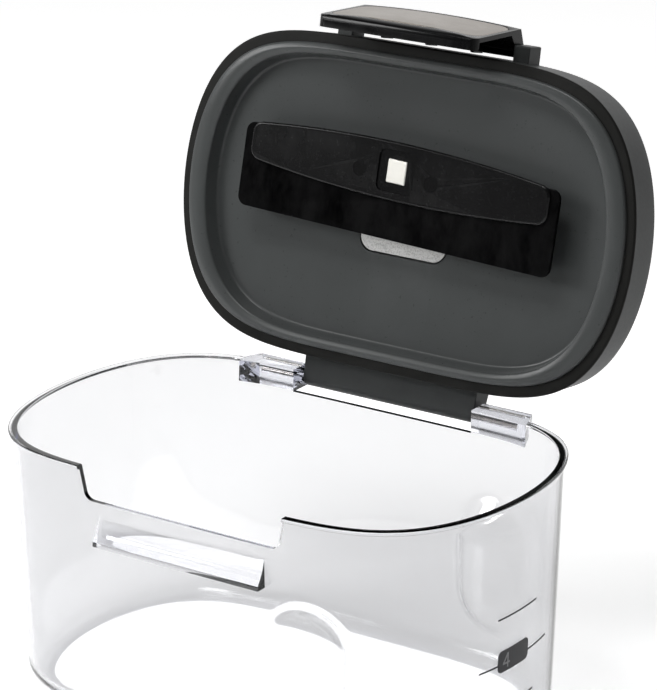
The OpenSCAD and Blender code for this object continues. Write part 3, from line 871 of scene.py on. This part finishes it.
class CANISTER_OT_shell(Operator):
    """Builds the lid's shell with its knuckle and ears"""

    bl_idname = "canister.shell"
    bl_label = "Lid shell"

    def execute(self, context):
        turns = even_turns(context.scene.canister_sizes.steps)

        def half(z, inward):
            lean = SHELL_LEAN * (z - SKIRT) / (RISE - SKIRT) + inward
            return SHELL[0] - lean, SHELL[1] - lean

        edge = RISE - SHELL_ROUND
        inside = RISE - TOP_DISH - SHELL_T
        rings = [(*half(inside, SHELL_T), inside), (*half(SKIRT, SHELL_T), SKIRT)]
        rings += [(*half(SKIRT, 0.4), SKIRT), (*half(SKIRT, 0.0), SKIRT + 0.4)]
        for i in range(1, 4):
            z = SKIRT + (edge - SKIRT) * i / 4
            rings.append((*half(z, 0), z))
        for out, up in fillet((-SHELL_ROUND, edge), SHELL_ROUND, 0, 90, 7):
            rings.append((*half(edge, -out), up))
        panel = RISE - TOP_DISH
        rings += [(*half(RISE, TOP_BORDER - 0.5), RISE), (*half(RISE, TOP_BORDER - 0.1), RISE - 0.25)]
        rings += [(*half(RISE, TOP_BORDER + 0.1), panel + 0.2), (*half(RISE, TOP_BORDER + 0.5), panel)]
        bm = bmesh.new()
        loft(bm, rings, turns, -LID_FORWARD)
        shell = as_mesh("lid_shell_body", bm, LID)
        shade(shell)
        tint = context.scene.canister_colours.charcoal
        finish = plastic(
            "charcoal_plastic", tint, 0.42, grain=700, marks=0.3, rub=0.25, relief=0.10, shine=0.2
        )
        finish_piece(shell, "lid", "charcoal_plastic", finish, "lid_shell")

        # knuckle bar
        hinge_y, drop = HINGE.y / MM, HINGE.z / MM - RIM
        root = SHELL[1] - LID_FORWARD - SHELL_T / 2 - SHELL_LEAN
        points = [(root, drop - KNUCKLE_R)]
        points += fillet((hinge_y, drop), KNUCKLE_R, -90, 68, 18)
        points.append((root, edge))
        knuckle = prism_object("lid_knuckle_bar", LID, points, -KNUCKLE_HALF, KNUCKLE_HALF)
        soften(knuckle, 0.0005, 3)
        finish_piece(knuckle, "lid", "charcoal_plastic", finish)

        # ears that carry the latch pin
        root, r = SHELL[1] + LID_FORWARD - SHELL_T / 2 - SHELL_LEAN, 0.8
        nose, top, low = PIVOT[0] - EAR_NOSE, PIVOT[1] + EAR_UP, PIVOT[1] - EAR_DOWN
        points = [(-root, top)] + fillet((nose + r, top - r), r, 90, 180, 4)
        points += fillet((nose + r, low + r), r, 180, 270, 4) + [(-root, low)]
        for name, side in (("latch_ear_left", -1), ("latch_ear_right", 1)):
            ends = sorted((side * EAR_IN, side * EAR_OUT))
            ear = prism_object(name, LID, points, *ends)
            soften(ear, 0.0006, 3)
            finish_piece(ear, "lid", "charcoal_plastic", finish)
        return {"FINISHED"}


class CANISTER_OT_liner(Operator):
    """Builds the plug under the lid: liner, gasket and keeper plate"""

    bl_idname = "canister.liner"
    bl_label = "Lid liner"

    def execute(self, context):
        sizes, colours = context.scene.canister_sizes, context.scene.canister_colours
        turns = even_turns(sizes.steps)
        dish_r, edge_r = sizes.dish_fillet / MM, sizes.flange_round / MM
        crown = sizes.flange_crown / MM

        def half(pair, out):
            return pair[0] + out, pair[1] + out

        rings = []
        for out, up in fillet((-dish_r, PANEL_Z - dish_r), dish_r, 90, 20, 6):
            rings.append((*half(DISH, out - 0.4), up))
        brow = FLANGE_Z + crown + edge_r
        for out, up in fillet((edge_r + 0.6, brow), edge_r, 180, 250, 5):
            rings.append((*half(DISH, out), up))
        near, far = half(DISH, edge_r + 0.6), half(FLANGE, -edge_r)
        for t in (0.15, 0.3, 0.5, 0.7, 0.85):
            across = [a + (b - a) * t for a, b in zip(near, far)]
            rings.append((*across, FLANGE_Z + crown * (2 * t - 1) ** 2))
        for out, up in fillet((-edge_r, brow), edge_r, -70, 0, 5):
            rings.append((*half(FLANGE, out), up))
        rings.append((*FLANGE, FLANGE_Z + FLANGE_T))
        rings.append((*NECK, FLANGE_Z + FLANGE_T))
        rings.append((*NECK, NECK_TOP))
        bm = bmesh.new()
        loft(bm, rings, turns, -LID_FORWARD)
        liner = as_mesh("lid_liner_body", bm, LID)
        width, height, thick, radius = KEEPER
        wider, rounder, deeper = POCKET
        points = rounded_rect(width + wider, height + wider, radius + rounder)
        ends = PANEL_Z - SPARE, PANEL_Z + thick + deeper
        cut(liner, prism_object("keeper_tool", LID, points, *ends, "Z"))
        shade(liner)
        finish = plastic(
            "liner_plastic", colours.liner, 0.30, grain=650, marks=0.3, rub=0.2, shine=0.3
        )
        finish_piece(liner, "lid", "liner_plastic", finish, "lid_liner")

        inner, half_t, r = NECK[0] + 0.15 - GASKET[0], GASKET_T / 2, 0.8
        section = [(inner, -half_t), (inner, half_t)]
        section += fillet((-r, half_t - r), r, 90, 0, 5) + fillet((-r, r - half_t), r, 0, -90, 5)
        middle = FLANGE_Z + FLANGE_T + half_t
        rings = [(*half(GASKET, out), middle + up) for out, up in section]
        bm = bmesh.new()
        loft(bm, rings, turns, -LID_FORWARD, closed=True)
        gasket = as_mesh("gasket_ring", bm, LID)
        shade(gasket)
        rubber = plastic(
            "gasket_rubber", colours.rubber, 0.5, 500, marks=0.3, rub=0.1, relief=0.15, shine=0.12
        )
        finish_piece(gasket, "lid", "gasket_rubber", rubber, "lid_gasket")

        plate = solid_copy("keeper_plate_disc", "keeper_plate")
        soften(plate, 0.00015)
        steel = metal("keeper_steel", colours.keeper, 0.38, lines=0.1, speckle=0.6, relief=0.3)
        finish_piece(plate, "lid", "keeper_steel", steel, "keeper_plate")
        return {"FINISHED"}


def round_latch(piece):
    """Rounds the latch's two free corners."""
    half, low, r = LATCH_HALF, LATCH_LOW, LATCH_CORNER
    points = fillet((half - r, low + r), r, -90, 0, 8)
    points += [(half + 1, low + r), (half + 1, low - 1), (half - r, low - 1)]
    for side in (-1, 1):
        corner = [(side * x, z) for x, z in points]
        tool = prism_object("corner_tool", LID, corner, -MOUTH[1] - 20, -MOUTH[1] + 5, "Y")
        cut(piece, tool)


class CANISTER_OT_latch(Operator):
    """Builds the latch, its face plate and its pin"""

    bl_idname = "canister.latch"
    bl_label = "Latch"

    def execute(self, context):
        colours = context.scene.canister_colours
        gloss = plastic(
            "latch_plastic", colours.gloss, 0.22, 700, marks=0.1, rub=0.2, relief=0.05, shine=0.2
        )
        pewter = metal("latch_metal", colours.pewter, 0.33, lines=0.25, speckle=0.25)
        steel = metal("pin_steel", colours.steel, 0.24, lines=0.5)
        for name, node, body, slot, finish, width in (
            ("latch_frame", "latch_body", "latch", "latch_plastic", gloss, 0.0003),
            ("latch_face", "latch_plate", "latch", "latch_metal", pewter, 0.0003),
            ("latch_rod", "latch_pin", "lid", "pin_steel", steel, 0.0002),
        ):
            piece = solid_copy(name, node)
            if name == "latch_frame":
                round_latch(piece)
            soften(piece, width)
            finish_piece(piece, body, slot, finish, node)
        return {"FINISHED"}


def round_grip(piece):
    """Rounds the grip's ends and its front edge, and leaves two round marks in its face."""
    to_grip = LEVELER.inverted()
    long_half, high_half = GRIP_HALF
    lean = math.atan(2 * (high_half - GRIP_END) / long_half)
    r = GRIP_CORNER
    centre = (long_half - r, GRIP_END + r * math.tan(lean) - r / math.cos(lean))
    arc = fillet(centre, r, 0, 90 - math.degrees(lean), 8)
    corner = [(long_half + 2, centre[1])] + arc + [(arc[-1][0] + math.sin(lean), arc[-1][1] + 1)]
    corner.append((long_half + 2, GRIP_END + 1))
    face = min((to_grip @ vert.co).z for vert in piece.data.vertices) / MM
    for x in (-1, 1):
        for y in (-1, 1):
            points = [(x * px, y * py) for px, py in corner]
            cut(piece, prism_object("corner_tool", LEVELER, points, face - 1, face + 3, "Z"))
    bm = bmesh.new()
    bm.from_mesh(piece.data)
    outline = []
    for edge in bm.edges:
        ends = [(to_grip @ vert.co) / MM for vert in edge.verts]
        if all(p.z < face + 0.01 and max(abs(p.x), abs(p.y)) > FRAME_HALF for p in ends):
            outline.append(edge)
    bmesh.ops.bevel(
        bm,
        geom=outline,
        offset=GRIP_EDGE * MM,
        segments=4,
        profile=0.5,
        affect="EDGES",
        material=-1,
    )
    bm.to_mesh(piece.data)
    bm.free()
    for mark in GRIP_MARKS:
        points = fillet(mark, MARK_R, 0, 360, 40)[:-1]
        ends = face - 0.5, face + MARK_DEEP
        cut(piece, prism_object("mark_tool", LEVELER, points, *ends, "Z"))


class CANISTER_OT_leveler(Operator):
    """Builds the leveler's blade, grip and magnet"""

    bl_idname = "canister.leveler"
    bl_label = "Leveler"

    def execute(self, context):
        colours = context.scene.canister_colours
        blade = plastic(
            "blade_plastic", colours.blade, 0.12, 500, marks=0.02, rub=0.2, relief=0.02, shine=0.02
        )
        grip = plastic(
            "grip_plastic", colours.matt, 0.25, marks=0.05, rub=0.2, relief=0.015, shine=0.25
        )
        nickel = metal("magnet_metal", colours.nickel, 0.5, lines=0.1)
        for name, node, slot, finish, width in (
            ("blade_sheet", "leveler_blade", "blade_plastic", blade, 0.0003),
            ("grip_bar", "leveler_grip", "grip_plastic", grip, 0.00015),
            ("magnet_block", "leveler_magnet", "magnet_metal", nickel, 0.0006),
        ):
            piece = solid_copy(name, node)
            if name == "grip_bar":
                round_grip(piece)
            soften(piece, width)
            if name == "grip_bar":
                even = piece.modifiers.new("even_shade", "WEIGHTED_NORMAL")
                even.keep_sharp, even.weight = True, 100
            finish_piece(piece, "leveler", slot, finish, node)
        return {"FINISHED"}


def seen_directly(tree):
    """1 for rays that come straight from the camera, or by way of metal or glass."""
    path = tree.nodes.new("ShaderNodeLightPath")
    total = maths(tree, "ADD", path.outputs["Is Camera Ray"], path.outputs["Is Glossy Ray"])
    total = maths(tree, "ADD", total, path.outputs["Is Transmission Ray"])
    return maths(tree, "MINIMUM", total, 1.0)


def room_light(strength):
    """A plain room for the light: white behind the object and a dark studio before it."""
    world = bpy.data.worlds.new("room")
    world.use_nodes = True
    tree = world.node_tree
    path = tree.nodes.new("ShaderNodeLightPath")
    toward = tree.nodes.new("ShaderNodeTexCoord").outputs["Generated"]
    behind = tree.nodes.new("ShaderNodeVectorMath")
    behind.operation = "DOT_PRODUCT"
    behind.inputs[1].default_value = (-0.57, 0.82, 0.0)
    tree.links.new(toward, behind.inputs[0])
    split = tree.nodes.new("ShaderNodeSeparateXYZ")
    tree.links.new(toward, split.inputs[0])
    overhead = remap(tree, split.outputs["Z"], 0.40, 0.75, 1.0, 0.10)
    backdrop = remap(tree, behind.outputs["Value"], -0.10, 0.55, 0.04, 1.0)
    mirrored = maths(tree, "MULTIPLY", backdrop, overhead)
    value = mix_value(tree, path.outputs["Is Glossy Ray"], strength, mirrored)
    value = mix_value(tree, path.outputs["Is Transmission Ray"], value, overhead)
    value = mix_value(tree, path.outputs["Is Camera Ray"], value, 1.0)
    tree.links.new(value, tree.nodes["Background"].inputs["Color"])
    return world


def add_lamp(name, place, size, energy):
    """An area lamp that faces the object."""
    data = bpy.data.lights.new(name, "AREA")
    data.energy = energy
    data.shape = "RECTANGLE"
    data.size, data.size_y = size
    lamp = bpy.data.objects.new(name, data)
    lamp.location = place
    lamp.rotation_euler = (Vector(LAMP_TARGET) - Vector(place)).to_track_quat("-Z", "Y").to_euler()
    bpy.context.scene.collection.objects.link(lamp)


class CANISTER_OT_stage(Operator):
    """Makes the floor, the room's light, the lamps and the camera"""

    bl_idname = "canister.stage"
    bl_label = "Stage"

    def execute(self, context):
        scene = context.scene
        stage, colours = scene.canister_stage, scene.canister_colours

        bm = bmesh.new()
        bmesh.ops.create_grid(bm, x_segments=1, y_segments=1, size=6)
        mesh = bpy.data.meshes.new("floor")
        bm.to_mesh(mesh)
        bm.free()
        floor = bpy.data.objects.new("floor", mesh)
        scene.collection.objects.link(floor)
        material, tree, shader = new_material("floor_white")
        vector = tree.nodes.new("ShaderNodeTexCoord").outputs["Object"]
        speck, _ = noise(tree, 300, 3, 0.6, vector=vector)
        share = remap(tree, speck, 0.3, 0.7, 0, 0.03)
        tint = mix_colour(tree, share, (*colours.floor, 1), (0.85, 0.85, 0.85, 1))
        tree.links.new(tint, shader.inputs["Base Color"])
        shader.inputs["Roughness"].default_value = 0.9
        shader.inputs["Specular IOR Level"].default_value = 0.1
        shader.inputs["Emission Color"].default_value = (1, 1, 1, 1)
        glow = maths(tree, "MULTIPLY", seen_directly(tree), FLOOR_GLOW)
        tree.links.new(glow, shader.inputs["Emission Strength"])
        floor.data.materials.append(material)

        scene.world = room_light(stage.world)

        for name, (place, size) in LAMPS.items():
            add_lamp(name, place, size, getattr(stage, name))

        data = bpy.data.cameras.new("camera")
        data.sensor_width = 36
        data.lens = stage.lens
        data.clip_start, data.clip_end = 0.05, 50
        camera = bpy.data.objects.new("camera", data)
        az, el = stage.azimuth, stage.elevation
        look = Vector((-math.sin(az) * math.cos(el), math.cos(az) * math.cos(el), -math.sin(el)))
        camera.rotation_mode = "QUATERNION"
        turn = look.to_track_quat("-Z", "Y").to_matrix().to_4x4() @ Matrix.Rotation(stage.roll, 4, "Z")
        camera.matrix_world = Matrix.Translation(Vector(stage.camera)) @ turn
        scene.collection.objects.link(camera)
        scene.camera = camera
        scene.view_settings.view_transform = "Standard"
        return {"FINISHED"}


OPERATORS = (
    CANISTER_OT_stage,
    CANISTER_OT_tub,
    CANISTER_OT_lines,
    CANISTER_OT_pins,
    CANISTER_OT_shell,
    CANISTER_OT_liner,
    CANISTER_OT_latch,
    CANISTER_OT_leveler,
)


class CANISTER_PT_panel(Panel):
    """Lists the canister's settings and pieces"""

    bl_idname = "CANISTER_PT_panel"
    bl_label = "Canister"
    bl_space_type = "VIEW_3D"
    bl_region_type = "UI"
    bl_category = "Canister"

    def draw(self, context):
        scene = context.scene
        for group in (scene.canister_sizes, scene.canister_colours, scene.canister_stage):
            box = self.layout.box()
            for key in group.__annotations__:
                box.prop(group, key)
        for operator in OPERATORS:
            self.layout.operator(operator.bl_idname)


CLASSES = (CanisterSizes, CanisterColours, CanisterStage, *OPERATORS, CANISTER_PT_panel)


def register():
    for cls in CLASSES:
        bpy.utils.register_class(cls)
    bpy.types.Scene.canister_sizes = PointerProperty(type=CanisterSizes)
    bpy.types.Scene.canister_colours = PointerProperty(type=CanisterColours)
    bpy.types.Scene.canister_stage = PointerProperty(type=CanisterStage)


def unregister():
    del bpy.types.Scene.canister_stage
    del bpy.types.Scene.canister_colours
    del bpy.types.Scene.canister_sizes
    for cls in reversed(CLASSES):
        bpy.utils.unregister_class(cls)


def main():
    """Builds everything."""
    register()
    bpy.ops.canister.stage()
    bpy.ops.canister.tub()
    bpy.ops.canister.lines()
    bpy.ops.canister.pins()
    bpy.ops.canister.shell()
    bpy.ops.canister.liner()
    bpy.ops.canister.latch()
    bpy.ops.canister.leveler()


if __name__ == "__main__":
    main()
